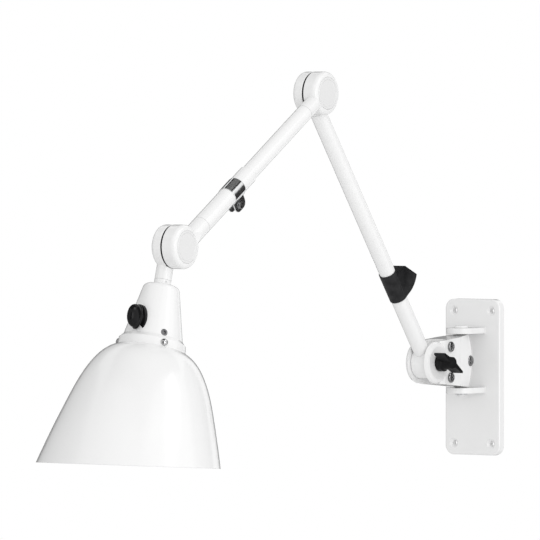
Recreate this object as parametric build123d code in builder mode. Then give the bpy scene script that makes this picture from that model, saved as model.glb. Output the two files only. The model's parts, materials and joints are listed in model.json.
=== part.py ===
from build123d import *
from math import asin, atan, atan2, cos, degrees, hypot, radians, sin, sqrt, tan
import os

os.makedirs("parts", exist_ok=True)

# Frame: X to the right, -Y out from the wall, Z up, origin at the centre of the plate's back face.
# All lengths are in millimetres and all angles in degrees.

# Fits
running_gap = 0.05  # radial clearance of a shaft in its bore
face_gap = 0.1  # between flat faces that turn on each other
turning_gap = 0.4  # between a round joint half and what reaches over its rim

# Wall plate
plate_width = 65.0
plate_height = 156.0
plate_thickness = 8.0
plate_corner = 9.5
plate_edge = 1.0
screw_spacing_x = 44.3
screw_spacing_z = 133.0
screw_hole = 5.3
screw_countersink = 9.6
countersink_angle = 90

# Hinge on the plate
hinge_rise = 17.0  # height of the hinge's middle above the plate's centre
pin_out = 28.0  # pin axis from the wall
pin_radius = 4.0
pin_head_radius = 6.9
pin_head_height = 2.4
pin_tail = 2.9  # pin below the lower lug
lug_radius = 15.0
lug_thickness = 5.8
lug_gap = 53.7
lug_edge = 0.6
hinge_washer = 0.5
hinge_washer_radius = 6.6
clip_thickness = 1.0
clip_radius = 6.0
clip_groove = 0.6

# Knuckle
knuckle_height = 52.5
barrel_radius = 10.9  # at mid height
barrel_end_radius = 7.4
tilt_reach = 62.4  # pin axis to tilt axis
cheek_radius = 20.8
cheek_bevel = 4.5
cheek_back_inner = -8.3
cheek_back_outer = -12.8
cheek_front_inner = 10.5
cheek_front_outer = 15.0
crease_out = 24.5  # front cheek's wall-side edge from the pin axis
slab_start = 7.0  # where the flat cheek takes over from its round boss
core_start = 20.6  # core's near edge from the tilt axis
cheek_screw_out = 41.6
cheek_screw_spacing = 30.6
cheek_screw_radius = 2.5
cheek_screw_length = 15.0
pan_head_radius = 5.1
pan_head_height = 2.6
cross_width = 1.2
cross_length = 5.6
cross_depth = 1.4
set_screw_flat = 10.2  # seat of the set screw from the pin axis
tilt_bolt_radius = 3.0
tilt_bolt_head = 10.0
tilt_bolt_head_height = 4.0
tilt_bolt_end = 29.0
tilt_washer = 0.4
tilt_washer_radius = 14.0

# Wing knob
knob_base_radius = 8.5
knob_base_end = 22.4
knob_tip_radius = 6.0
knob_end = 32.6
knob_wing_reach = 19.0
knob_wing_start = 20.2
knob_wing_root = 5.6  # thickness at the hub
knob_wing_end = 2.0  # and at the tips
knob_wing_angle = 31.0
knob_edge = 0.8
insert_radius = 4.6

# Lower arm
lower_length = 336.0  # tilt axis to elbow axis
lower_lean = 37.3  # from upright, outward
eye_radius = 16.0
tube_radius = 8.0
tube_wall = 1.5
spigot_length = 14.0
outlet_foot = 82.0
outlet_length = 32.2
outlet_radius = 8.9
fin_half_width = 8.8
outlet_shoulder = (18.4, 25.9)  # reach from the tube axis, height above the foot
outlet_tip = (29.6, 6.6)
outlet_belly = (21.6, 2.0)
outlet_mouth = 3.6
outlet_grip = 10.0  # length of the close-fitting bore
outlet_channel = 4.4  # wider way from there into the tube
outlet_channel_end = 24.0

# Round joints at the elbow and at the head
disc_radius = 21.0
half_outer = 6.7  # tube's middle to the cap's face
rear_inner = 5.1  # tube's middle to the parting face, on the rear half
front_inner = 8.3  # the same on the front half
gasket_thickness = 1.6
gasket_radius = 20.4
disc_fillet = 4.6
disc_inner_edge = 0.5
fairing_reach = 6.0  # of the slope from the cap's face up to the stub
fairing_rise = 5.0
wire_bore = 3.0
pocket_radius = 15.8
pocket_depth = 7.4
cap_radius = 15.7
cap_thickness = 2.2
cap_ring_width = 2.6
cap_ring_rise = 0.5
joint_bolt_radius = 4.0
joint_bolt_head = 13.0
joint_bolt_head_height = 4.6
joint_nut = 13.0
joint_nut_height = 2.6
joint_spring = 1.2
joint_spring_radius = 8.0

# Upper arm and forearm
upper_length = 275.4  # elbow axis to head joint axis
upper_drop = 31.7  # below the horizontal, outward
elbow_stub = 35.6
rear_stub = 22.6
sleeve_start = 147.0
sleeve_radius = 9.2
sleeve_wall = 1.15
sleeve_edge = 0.8
tube_end_room = 14.4  # between the tube's end and the head joint's spigot
forearm_stub = 38.0
clamp_start = 168.9
clamp_width = 18.6
clamp_wall = 0.6
ear_length = 10.8
ear_thickness = 1.2
ear_offset = 4.4  # outer face of each ear from the clamp's middle
ear_corner = 6.5
clamp_screw_radius = 2.0
clamp_head_radius = 3.4
clamp_head_height = 1.6
clamp_nut = 7.0
clamp_nut_height = 2.8

# Head arm
head_lean = -16.2  # foot of the head leans outward
head_stub = 33.0
stem_radius = 5.0
stem_bore = 3.5
stem_start = 17.0
stem_end = 52.0
stem_nut_flats = 14.0
stem_nut_height = 5.0

# Lamp head: heights are distances below the head joint's axis
neck_foot = 38.2
neck_screw_radius = 1.4
neck_screw_height = 35.6
neck_screw_turn = 60.0
housing_shoulder = 44.0
housing_shoulder_radius = 18.0
housing_crown = 5.0
cone_foot = 90.0
cone_foot_radius = 28.4
band_top = 93.4
band_foot = 101.7
band_radius = 32.7
band_edge = 1.4
housing_wall = 1.9
housing_roof = 3.0
screw_turn = 56.5  # first screw pair, from straight out towards the right
upper_screw_up = 2.6  # above the cone's foot
upper_screw_radius = 3.3
upper_screw_head = 1.0
upper_screw_shank = 2.2
upper_screw_length = 6.0
upper_screw_sink = 0.4
lower_screw_down = 4.2  # below the band's top
dome_radius = 3.5
dome_height = 1.9
dome_shank = 1.5
dome_shank_length = 5.0
ring_above_screw = 2.2
ring_height = 5.0
holder_rise = 0.6  # of the body's top above the ring
holder_length = 42.4
holder_radius = 19.4
holder_wall = 3.2
holder_floor = 9.0
contact_well = 2.8  # depth of the contact's room under the shell
contact_well_radius = 10.0
holder_flange_radius = 23.6
holder_flange = 3.0
shell_bore = 13.35  # clears a standard 27 mm screw cap
shell_thickness = 0.9
shell_length = 21.5
contact_radius = 4.0
contact_height = 2.4
holder_screw_radius = 1.5
holder_screw_head = 2.0
holder_screw_out = 21.5

# Shade
shade_wall = 1.2
neck_rise = 7.6  # shade's neck inside the housing's band
collar_thickness = 2.6
collar_height = 6.0
shade_profile = [(34.4, 101.7), (43.8, 108.0), (54.6, 122.0), (70.1, 160.0), (82.3, 200.0), (97.2, 255.0)]
rim_height = 213.6  # where the rim's plane crosses the head's axis
rim_slant = 12.7

# Rotary switch: distances out are from the head's axis
switch_height = 76.6
switch_hole = 3.5
flange_half_height = 13.4
flange_half_width = 7.2
flange_rise = 1.4  # of its flat front above the cone
flange_edge = 0.5
flange_boss_radius = 5.8
flange_boss_out = 29.8
grip_sections = [(30.1, 12.2, 6.2), (35.0, 11.6, 6.0), (40.6, 9.2, 4.4), (44.4, 6.6, 2.0)]  # distance out, half height, half width
knob_gap = 0.3
switch_shaft = 2.0
switch_shaft_end = 40.0
switch_body_width = 18.0
switch_body_height = 14.0
switch_body_out = 19.0
switch_body_depth = 11.0
bushing_radius = 3.3
switch_nut_flats = 8.6
switch_nut_height = 1.8


# Frames of the moving parts: each one's Z runs along its own member
right = Vector(1, 0, 0)


def leaning(origin, angle):
    """A frame whose Z leans outward from straight up by an angle."""
    return Plane(origin=origin, x_dir=right, z_dir=Vector(0, -sin(radians(angle)), cos(radians(angle))))


def along(frame, distance):
    return frame.from_local_coords(Vector(0, 0, distance))


def profile_plane(frame):
    """Right and up in the frame: outlines here turn about the frame's Z."""
    return Plane(origin=frame.origin, x_dir=frame.x_dir, z_dir=-frame.y_dir)


def side_plane(frame, right_by=0.0):
    """The frame's Y and Z, seen from the right."""
    origin = frame.from_local_coords(Vector(right_by, 0, 0))
    return Plane(origin=origin, x_dir=frame.y_dir, z_dir=frame.x_dir)


def axle_plane(frame):
    """Outlines here are (radius, distance to the right) and turn about the frame's X."""
    return Plane(origin=frame.origin, x_dir=frame.z_dir, z_dir=frame.y_dir)


def radial_frame(frame, height, turn_angle=0.0):
    """At a height, Z points out from the frame's axis: its own Y, turned towards its X, and X runs along the axis."""
    out = frame.y_dir * cos(radians(turn_angle)) + frame.x_dir * sin(radians(turn_angle))
    return Plane(origin=along(frame, height), x_dir=frame.z_dir, z_dir=out)


hinge = leaning(Vector(0, -pin_out, hinge_rise), 0)
tilt = leaning(Vector(0, -pin_out - tilt_reach, hinge_rise), 0)
lower = leaning(tilt.origin, lower_lean)
elbow_point = along(lower, lower_length)
half_pitch = rear_inner + gasket_thickness + face_gap + front_inner  # between the two halves' middles
upper_axis = elbow_point + right * half_pitch
upper = leaning(upper_axis, 90 + upper_drop)
head_point = along(upper, upper_length) - right * half_pitch
head_down = leaning(head_point, head_lean + 180)


# Drawing helpers, used inside each piece's own block
def turn(plane, outline, mode=Mode.ADD):
    """Turn a (radius, height) outline about the plane's own Y axis."""
    with BuildSketch(plane) as section:
        with BuildLine():
            Polyline(*outline, close=True)
        make_face()
    revolve(section.sketch, axis=Axis(plane.origin, plane.y_dir), mode=mode)


def bar(plane, radius, start, end, mode=Mode.ADD):
    """A round bar along the plane's normal."""
    with BuildSketch(plane.offset(start)) as section:
        Circle(radius)
    extrude(section.sketch, amount=end - start, mode=mode)


def ring(plane, outer, inner, start, end, mode=Mode.ADD):
    """A washer-like ring along the plane's normal."""
    with BuildSketch(plane.offset(start)) as section:
        Circle(outer)
        Circle(inner, mode=Mode.SUBTRACT)
    extrude(section.sketch, amount=end - start, mode=mode)


def hexagon(plane, flats, start, end, mode=Mode.ADD):
    """A hexagonal bar along the plane's normal."""
    with BuildSketch(plane.offset(start)) as section:
        RegularPolygon(flats / 2, 6, major_radius=False)
    extrude(section.sketch, amount=end - start, mode=mode)


def block(plane, width, height, start, end, mode=Mode.ADD):
    """A rectangular bar along the plane's normal."""
    with BuildSketch(plane.offset(start)) as section:
        Rectangle(width, height)
    extrude(section.sketch, amount=end - start, mode=mode)


def pan_head(plane, start):
    """A pan head with a cross recess, standing on the plane at start."""
    turn(
        Plane(origin=plane.origin, x_dir=plane.x_dir, z_dir=-plane.y_dir),
        [
            (0, start),
            (pan_head_radius, start),
            (pan_head_radius, start + pan_head_height * 0.4),
            (pan_head_radius * 0.8, start + pan_head_height * 0.85),
            (pan_head_radius * 0.45, start + pan_head_height),
            (0, start + pan_head_height),
        ],
    )
    top = start + pan_head_height
    block(plane, cross_length, cross_width, top - cross_depth, top + cross_width, Mode.SUBTRACT)
    block(plane, cross_width, cross_length, top - cross_depth, top + cross_width, Mode.SUBTRACT)


def finish(piece, label):
    """Name a finished piece and write it."""
    piece.part.label = label
    export_step(piece.part, f"parts/{label}.step")


# ---------------------------------------------------------------- wall mount
plate_front = -plate_thickness
front_face = Plane(origin=(0, plate_front, 0), x_dir=(1, 0, 0), z_dir=(0, -1, 0))
back_face = Plane(origin=(0, 0, 0), x_dir=(1, 0, 0), z_dir=(0, -1, 0))

with BuildPart() as wall_plate:
    with BuildSketch(back_face):
        RectangleRounded(plate_width, plate_height, plate_corner)
    extrude(amount=plate_thickness)
    chamfer(wall_plate.faces().sort_by(Axis.Y)[0].edges(), plate_edge)
    with Locations(front_face):
        with GridLocations(screw_spacing_x, screw_spacing_z, 2, 2):
            CounterSinkHole(screw_hole / 2, screw_countersink / 2, counter_sink_angle=countersink_angle)
finish(wall_plate, "wall_plate")

lug_bore = pin_radius + running_gap


def lug(low):
    """A round-ended hinge lug standing on the plate's front, from a height above the hinge's middle."""
    with BuildPart() as piece:
        with BuildSketch(hinge.offset(low)):
            Circle(lug_radius)
            root = pin_out - plate_thickness
            with Locations((0, root / 2)):
                Rectangle(2 * lug_radius, root)
            Circle(lug_bore, mode=Mode.SUBTRACT)
        extrude(amount=lug_thickness)
        rim = [e for e in piece.edges() if e.center().Y < -plate_thickness - lug_edge and e.length > 2 * lug_radius]
        fillet(rim, lug_edge)
    return piece


upper_lug = lug(lug_gap / 2)
finish(upper_lug, "upper_lug")
lower_lug = lug(-lug_gap / 2 - lug_thickness)
finish(lower_lug, "lower_lug")

pin_top = lug_gap / 2 + lug_thickness
pin_foot = -pin_top - pin_tail
clip_top = -pin_top
with BuildPart() as hinge_pin:
    groove = pin_radius - clip_groove
    turn(
        profile_plane(hinge),
        [
            (0, pin_foot),
            (pin_radius - clip_groove, pin_foot),
            (pin_radius, pin_foot + clip_groove),
            (pin_radius, clip_top - clip_thickness),
            (groove, clip_top - clip_thickness),
            (groove, clip_top),
            (pin_radius, clip_top),
            (pin_radius, pin_top),
            (pin_head_radius, pin_top),
            (pin_head_radius, pin_top + pin_head_height * 0.5),
            (pin_head_radius - pin_head_height * 0.5, pin_top + pin_head_height),
            (0, pin_top + pin_head_height),
        ],
    )
finish(hinge_pin, "hinge_pin")

with BuildPart() as pin_clip:
    ring(hinge, clip_radius, groove, clip_top - clip_thickness, clip_top)
    slot_plane = hinge.offset(clip_top - clip_thickness)
    with BuildSketch(slot_plane):
        with Locations((0, clip_radius)):
            Rectangle(2 * groove * 0.8, 2 * clip_radius)
    extrude(amount=clip_thickness, mode=Mode.SUBTRACT)
finish(pin_clip, "pin_clip")

knuckle_half = knuckle_height / 2
with BuildPart() as hinge_washers:
    ring(hinge, hinge_washer_radius, lug_bore, lug_gap / 2 - hinge_washer, lug_gap / 2)
    ring(hinge, hinge_washer_radius, lug_bore, -lug_gap / 2, -lug_gap / 2 + hinge_washer)
finish(hinge_washers, "hinge_washers")

# ---------------------------------------------------------------- knuckle
# The cheeks' outline is a round boss at the tilt axis and two lines that open to the barrel's height.
boss_distance = hypot(tilt_reach, knuckle_half)
cheek_taper = degrees(atan2(knuckle_half, tilt_reach) - asin(cheek_radius / boss_distance))


def cheek_half_height(wallward):
    """Half height of the knuckle at a distance from the tilt axis towards the wall."""
    return cheek_radius / cos(radians(cheek_taper)) + wallward * tan(radians(cheek_taper))


def cheek_slab(inner, outer, start, end):
    """A flat stretch of the knuckle between two distances from the tilt axis."""
    with BuildSketch(side_plane(tilt, inner)) as outline:
        low, high = cheek_half_height(start), cheek_half_height(end)
        Polygon((start, -low), (end, -high), (end, high), (start, low), align=None)
    extrude(outline.sketch, amount=outer - inner)


def cheek_boss(inner, outer):
    """The round end of a cheek, with its outer edge bevelled."""
    reach = outer - inner
    bevel = cheek_bevel if reach > 0 else -cheek_bevel
    turn(
        axle_plane(tilt),
        [
            (0, inner),
            (cheek_radius, inner),
            (cheek_radius, outer - bevel * 0.85),
            (cheek_radius - cheek_bevel * 0.3, outer - bevel * 0.3),
            (cheek_radius - cheek_bevel, outer),
            (0, outer),
        ],
    )


crease = tilt_reach - crease_out
bolt_hole = tilt_bolt_radius + 0.02
screw_frame = side_plane(tilt)
screw_places = [(tilt_reach - cheek_screw_out, side * cheek_screw_spacing / 2) for side in (-1, 1)]
tap_radius = cheek_screw_radius + 0.02
with BuildPart() as swivel_block:
    # crowned barrel
    barrel_half = knuckle_half
    with BuildSketch(profile_plane(hinge)) as barrel:
        with BuildLine():
            ThreePointArc((barrel_end_radius, -barrel_half), (barrel_radius, 0), (barrel_end_radius, barrel_half))
            Polyline((barrel_end_radius, barrel_half), (0, barrel_half), (0, -barrel_half), (barrel_end_radius, -barrel_half))
        make_face()
    revolve(barrel.sketch, axis=Axis(hinge.origin, hinge.z_dir))
    # neck from the barrel to the crease
    crease_half = cheek_half_height(crease)
    crease_plane = Plane(origin=(0, tilt.origin.Y + crease, hinge_rise), x_dir=(1, 0, 0), z_dir=(0, -1, 0))
    pin_plane = Plane(origin=hinge.origin, x_dir=(1, 0, 0), z_dir=(0, -1, 0))
    with BuildSketch(pin_plane) as neck_root:
        with BuildLine():
            Line((-barrel_end_radius, -barrel_half), (barrel_end_radius, -barrel_half))
            ThreePointArc((barrel_end_radius, -barrel_half), (barrel_radius, 0), (barrel_end_radius, barrel_half))
            Line((barrel_end_radius, barrel_half), (-barrel_end_radius, barrel_half))
            ThreePointArc((-barrel_end_radius, barrel_half), (-barrel_radius, 0), (-barrel_end_radius, -barrel_half))
        make_face()
    with BuildSketch(crease_plane) as neck_end:
        with BuildLine():
            Polyline(
                (cheek_back_outer, -crease_half),
                (cheek_front_outer, -crease_half),
                (cheek_front_outer, crease_half),
                (cheek_back_outer, crease_half),
                close=True,
            )
        make_face()
    loft([neck_root.sketch.face(), neck_end.sketch.face()], ruled=True)
    # core and back cheek
    cheek_slab(cheek_back_inner, cheek_front_inner, core_start, crease)
    cheek_slab(cheek_back_outer, cheek_back_inner, slab_start, crease)
    cheek_boss(cheek_back_inner, cheek_back_outer)
    # holes
    bar(hinge, pin_radius + running_gap, -barrel_half, barrel_half, Mode.SUBTRACT)
    bar(side_plane(tilt), bolt_hole, cheek_back_outer, cheek_back_inner, Mode.SUBTRACT)
    set_plane = side_plane(hinge)
    bar(set_plane, tap_radius, pin_radius * 0.5, set_screw_flat, Mode.SUBTRACT)
    bar(set_plane, pan_head_radius + 0.3, set_screw_flat, set_screw_flat + 6, Mode.SUBTRACT)
    with BuildSketch(side_plane(tilt, cheek_front_outer)) as taps:
        with Locations(*screw_places):
            Circle(tap_radius)
    extrude(taps.sketch, amount=-cheek_screw_length - 1, mode=Mode.SUBTRACT)
finish(swivel_block, "swivel_block")

with BuildPart() as front_cheek:
    cheek_slab(cheek_front_inner, cheek_front_outer, slab_start, crease)
    # the slab starts with the same slope as the boss's bevel
    with BuildSketch(Plane(origin=tilt.origin, x_dir=(0, 1, 0), z_dir=(0, 0, -1))) as slope:
        Polygon(
            (slab_start, cheek_front_inner),
            (slab_start, cheek_front_outer - cheek_bevel * 0.85),
            (slab_start + cheek_bevel, cheek_front_outer),
            (crease, cheek_front_outer),
            (crease, cheek_front_inner),
            align=None,
        )
    extrude(slope.sketch, amount=2 * knuckle_half, both=True, mode=Mode.INTERSECT)
    cheek_boss(cheek_front_inner, cheek_front_outer)
    bar(side_plane(tilt), bolt_hole, cheek_front_inner, cheek_front_outer, Mode.SUBTRACT)
    with BuildSketch(side_plane(tilt, cheek_front_outer)) as taps:
        with Locations(*screw_places):
            Circle(tap_radius)
    extrude(taps.sketch, amount=cheek_front_inner - cheek_front_outer, mode=Mode.SUBTRACT)
finish(front_cheek, "front_cheek")

with BuildPart() as cheek_screws:
    for place in screw_places:
        at = Plane(origin=screw_frame.from_local_coords(place), x_dir=screw_frame.x_dir, z_dir=screw_frame.z_dir)
        bar(at, cheek_screw_radius, cheek_front_outer - cheek_screw_length, cheek_front_outer)
        pan_head(at, cheek_front_outer)
finish(cheek_screws, "cheek_screws")

with BuildPart() as swivel_set_screw:
    bar(set_plane, cheek_screw_radius, pin_radius + face_gap, set_screw_flat)
    pan_head(set_plane, set_screw_flat)
finish(swivel_set_screw, "swivel_set_screw")

with BuildPart() as tilt_bolt:
    bolt_start = cheek_back_outer
    hexagon(side_plane(tilt), tilt_bolt_head, bolt_start - tilt_bolt_head_height, bolt_start)
    bar(side_plane(tilt), tilt_bolt_radius, bolt_start, tilt_bolt_end)
    chamfer(tilt_bolt.faces().sort_by(Axis.X)[-1].edges(), knob_edge / 2)
finish(tilt_bolt, "tilt_bolt")

washer_bore = tilt_bolt_radius + 0.1
with BuildPart() as tilt_washers:
    ring(side_plane(tilt), tilt_washer_radius, washer_bore, cheek_back_inner, cheek_back_inner + tilt_washer)
    ring(side_plane(tilt), tilt_washer_radius, washer_bore, cheek_front_inner - tilt_washer, cheek_front_inner)
finish(tilt_washers, "tilt_washers")

# ---------------------------------------------------------------- wing knob
knob_start = cheek_front_outer + face_gap
with BuildPart() as wing_knob:
    turn(
        axle_plane(tilt),
        [
            (0, knob_start),
            (knob_base_radius - knob_edge, knob_start),
            (knob_base_radius, knob_start + knob_edge),
            (knob_base_radius, knob_base_end - knob_edge),
            (knob_tip_radius + knob_edge, knob_base_end + knob_edge),
            (knob_tip_radius, knob_end - knob_edge),
            (knob_tip_radius - knob_edge, knob_end),
            (0, knob_end),
        ],
    )
    # wings: a bar across the hub that thins towards its tips, turned about the axis
    wing_along = Vector(0, 1, 0).rotate(Axis.X, -knob_wing_angle)
    wing_plane = Plane(origin=tilt.origin + right * knob_wing_start, x_dir=wing_along, z_dir=right)
    with BuildSketch(wing_plane) as wing:
        Polygon(
            (-knob_wing_reach, knob_wing_end / 2),
            (0, knob_wing_root / 2),
            (knob_wing_reach, knob_wing_end / 2),
            (knob_wing_reach, -knob_wing_end / 2),
            (0, -knob_wing_root / 2),
            (-knob_wing_reach, -knob_wing_end / 2),
            align=None,
        )
        fillet(wing.vertices(), knob_edge)
    extrude(wing.sketch, amount=knob_end - knob_wing_start)
    bar(side_plane(tilt), insert_radius, knob_start, knob_end - 2 * knob_edge, Mode.SUBTRACT)
finish(wing_knob, "wing_knob")

with BuildPart() as knob_insert:
    ring(side_plane(tilt), insert_radius, tilt_bolt_radius + running_gap, knob_start, knob_end - 2 * knob_edge)
finish(knob_insert, "knob_insert")

# ---------------------------------------------------------------- lower arm
eye_back = cheek_back_inner + tilt_washer + face_gap
eye_front = cheek_front_inner - tilt_washer - face_gap
tube_bore = tube_radius - tube_wall
spigot_radius = tube_bore - 0.05
with BuildPart() as arm_eye:
    bar(side_plane(tilt), eye_radius, eye_back, eye_front)
    bar(lower, spigot_radius, 0, eye_radius + spigot_length)
    bar(side_plane(tilt), tilt_bolt_radius + running_gap, eye_back - 1, eye_front + 1, Mode.SUBTRACT)
finish(arm_eye, "arm_eye")

tube_end = lower_length - rear_stub
outlet_side = side_plane(lower)
outlet_top = outlet_foot + outlet_length
shoulder = (outlet_shoulder[0], outlet_foot + outlet_shoulder[1])
tip = (outlet_tip[0], outlet_foot + outlet_tip[1])
belly = (outlet_belly[0], outlet_foot + outlet_belly[1])
mouth_point = ((shoulder[0] + tip[0]) / 2, (shoulder[1] + tip[1]) / 2)
mouth_slope = Vector(tip[0] - shoulder[0], tip[1] - shoulder[1], 0).normalized()
mouth_out = outlet_side.from_local_coords(Vector(-mouth_slope.Y, mouth_slope.X, 0)) - outlet_side.origin
mouth_plane = Plane(origin=outlet_side.from_local_coords(mouth_point), x_dir=right, z_dir=mouth_out)
with BuildPart() as cable_outlet:
    bar(lower, outlet_radius, outlet_foot, outlet_top)
    with BuildSketch(outlet_side.offset(-fin_half_width)) as fin:
        with BuildLine():
            Polyline((0, outlet_foot), (0, outlet_top), shoulder, tip)
            ThreePointArc(tip, belly, (outlet_radius * 0.9, outlet_foot))
            Line((outlet_radius * 0.9, outlet_foot), (0, outlet_foot))
        make_face()
    extrude(fin.sketch, amount=2 * fin_half_width)
    bar(lower, tube_radius, outlet_foot, outlet_top, Mode.SUBTRACT)
    bar(mouth_plane, outlet_mouth, -outlet_grip, 1, Mode.SUBTRACT)
    bar(mouth_plane, outlet_channel, -outlet_channel_end, -outlet_grip, Mode.SUBTRACT)
finish(cable_outlet, "cable_outlet")

with BuildPart() as lower_arm_tube:
    ring(lower, tube_radius, tube_bore, 0, tube_end)
    bar(side_plane(tilt), eye_radius + 0.02, -2 * eye_radius, 2 * eye_radius, Mode.SUBTRACT)
    bar(mouth_plane, outlet_channel, -outlet_channel_end, -outlet_grip, Mode.SUBTRACT)
finish(lower_arm_tube, "lower_arm_tube")


# ---------------------------------------------------------------- round joints
def joint_half(frame, outward, inner_reach, stub_radius, stub_length, spigot, bore):
    """One half of a round joint. Outward is +1 or -1 along X, from the joint's parting face to its cap."""
    inner = -outward * inner_reach
    outer = outward * half_outer
    with BuildPart() as piece:
        with BuildSketch(axle_plane(frame)) as section:
            with BuildLine():
                corner = (disc_radius, outer - outward * disc_fillet)
                round_end = (disc_radius - disc_fillet, outer)
                middle = 1 - sin(radians(45))
                Polyline(round_end, (0, outer), (0, inner), (disc_radius - disc_inner_edge, inner))
                Polyline((disc_radius - disc_inner_edge, inner), (disc_radius, inner + outward * disc_inner_edge), corner)
                ThreePointArc(
                    corner,
                    (disc_radius - disc_fillet * middle, outer - outward * disc_fillet * middle),
                    round_end,
                )
            make_face()
        revolve(section.sketch, axis=Axis(frame.origin, frame.x_dir))
        bar(frame, stub_radius, 0, stub_length)
        if spigot:
            bar(frame, spigot, 0, stub_length + spigot_length)
        # room for the other half to turn
        far = inner - outward * 4 * half_outer
        bar(side_plane(frame), disc_radius + turning_gap, *sorted((inner, far)), Mode.SUBTRACT)
        # slope from the cap's face up to the stub
        flat = disc_radius - disc_fillet
        beyond = outer + outward * 3 * fairing_rise
        turn(
            axle_plane(frame),
            [
                (0, outer),
                (flat, outer),
                (disc_radius + fairing_reach, outer + outward * fairing_rise),
                (disc_radius + fairing_reach, beyond),
                (0, beyond),
            ],
            Mode.SUBTRACT,
        )
        # way for the wires
        bar(frame, wire_bore, disc_radius / 2, stub_length + 2 * spigot_length, Mode.SUBTRACT)
        # pocket for the fastener, closed by the cap
        bar(side_plane(frame), pocket_radius, *sorted((outer - outward * pocket_depth, outer + outward)), Mode.SUBTRACT)
        bar(side_plane(frame), bore, *sorted((inner - outward, outer)), Mode.SUBTRACT)
    return piece


def joint_cap(frame, outward):
    """A pressed cap with a raised rim ring and a bare flat middle."""
    seat = outward * (half_outer - cap_thickness)
    face = outward * half_outer
    ring_face = face + outward * cap_ring_rise
    with BuildPart() as piece:
        turn(
            axle_plane(frame),
            [
                (0, seat),
                (cap_radius, seat),
                (cap_radius, face),
                (cap_radius - cap_ring_rise, ring_face),
                (cap_radius - cap_ring_width + cap_ring_rise, ring_face),
                (cap_radius - cap_ring_width, face),
                (0, face),
            ],
        )
    return piece


rear_bore = joint_bolt_radius + 0.02
front_bore = joint_bolt_radius + running_gap
web_rear = pocket_depth - half_outer  # outer face of the rear half's web
web_front = half_pitch + half_outer - pocket_depth


def joint_bolt(frame):
    """Hex bolt with its head in the rear half's pocket, through both halves."""
    end = web_front + joint_spring + joint_nut_height + 2 * face_gap
    with BuildPart() as piece:
        hexagon(side_plane(frame), joint_bolt_head, web_rear - joint_bolt_head_height, web_rear)
        bar(side_plane(frame), joint_bolt_radius, web_rear, end)
    return piece


def joint_spring_washer(frame):
    start = web_front + face_gap
    with BuildPart() as piece:
        turn(
            axle_plane(frame),
            [
                (joint_bolt_radius, start + joint_spring * 0.5),
                (joint_spring_radius, start),
                (joint_spring_radius, start + joint_spring * 0.5),
                (joint_bolt_radius, start + joint_spring),
            ],
        )
    return piece


def joint_nut_piece(frame):
    start = web_front + face_gap + joint_spring
    with BuildPart() as piece:
        hexagon(side_plane(frame), joint_nut, start, start + joint_nut_height)
        bar(side_plane(frame), joint_bolt_radius, start, start + joint_nut_height, Mode.SUBTRACT)
    return piece


def joint_gasket(frame):
    start = rear_inner
    with BuildPart() as piece:
        ring(side_plane(frame), gasket_radius, rear_bore, start, start + gasket_thickness)
    return piece


# Elbow: the lower arm carries the rear half and its fasteners, the upper arm the front half.
elbow_down = leaning(elbow_point, lower_lean + 180)
elbow_rear_housing = joint_half(elbow_down, -1, rear_inner, tube_radius, rear_stub, spigot_radius, rear_bore)
finish(elbow_rear_housing, "elbow_rear_housing")
elbow_rear_cap = joint_cap(elbow_down, -1)
finish(elbow_rear_cap, "elbow_rear_cap")
elbow_front_housing = joint_half(upper, 1, front_inner, tube_radius, elbow_stub, spigot_radius, front_bore)
finish(elbow_front_housing, "elbow_front_housing")
elbow_front_cap = joint_cap(upper, 1)
finish(elbow_front_cap, "elbow_front_cap")
elbow_bolt = joint_bolt(elbow_down)
finish(elbow_bolt, "elbow_bolt")
elbow_spring_washer = joint_spring_washer(elbow_down)
finish(elbow_spring_washer, "elbow_spring_washer")
elbow_nut = joint_nut_piece(elbow_down)
finish(elbow_nut, "elbow_nut")
elbow_gasket = joint_gasket(elbow_down)
finish(elbow_gasket, "elbow_gasket")

# ---------------------------------------------------------------- upper arm and forearm
sleeve_end = upper_length - forearm_stub
tube_foot = sleeve_end - spigot_length - tube_end_room
with BuildPart() as upper_arm_tube:
    ring(upper, tube_radius, tube_bore, elbow_stub, tube_foot)
finish(upper_arm_tube, "upper_arm_tube")

sleeve_bore = tube_radius + running_gap
with BuildPart() as forearm_sleeve:
    ring(upper, sleeve_radius, sleeve_bore, sleeve_start, sleeve_end)
    start_edges = forearm_sleeve.faces().sort_by(Axis(upper.origin, upper.z_dir))[0].edges()
    chamfer(start_edges.sort_by(SortBy.LENGTH)[-1], sleeve_edge)
finish(forearm_sleeve, "forearm_sleeve")

clamp_end = clamp_start + clamp_width
clamp_middle = (clamp_start + clamp_end) / 2
clamp_outer = sleeve_radius + clamp_wall
ear_reach = sleeve_radius + ear_length
with BuildPart() as clamp_band:
    ring(upper, clamp_outer, sleeve_radius, clamp_start, clamp_end)
    with BuildSketch(upper.offset(clamp_start)) as split_gap:
        with Locations((0, -clamp_outer)):
            Rectangle(2 * (ear_offset - ear_thickness), 2 * clamp_outer)
    extrude(split_gap.sketch, amount=clamp_width, mode=Mode.SUBTRACT)
    for side in (-1, 1):
        inner = side * (ear_offset - ear_thickness)
        with BuildSketch(side_plane(upper, inner)) as ear:
            with Locations((-(sleeve_radius + ear_reach) / 2 + 1, clamp_middle)):
                Rectangle(ear_length + 2, clamp_width)
            fillet(ear.vertices().group_by(Axis.X)[0], ear_corner)
        extrude(ear.sketch, amount=side * ear_thickness)
    bar(upper, sleeve_radius, clamp_start, clamp_end, Mode.SUBTRACT)
    ear_hole_place = -(ear_reach - ear_length * 0.45)
    ear_plane = side_plane(upper)
    hole_plane = Plane(origin=ear_plane.from_local_coords((ear_hole_place, clamp_middle)), x_dir=upper.y_dir, z_dir=right)
    bar(hole_plane, clamp_screw_radius + 0.02, -2 * ear_offset, 2 * ear_offset, Mode.SUBTRACT)
finish(clamp_band, "clamp_band")

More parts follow.
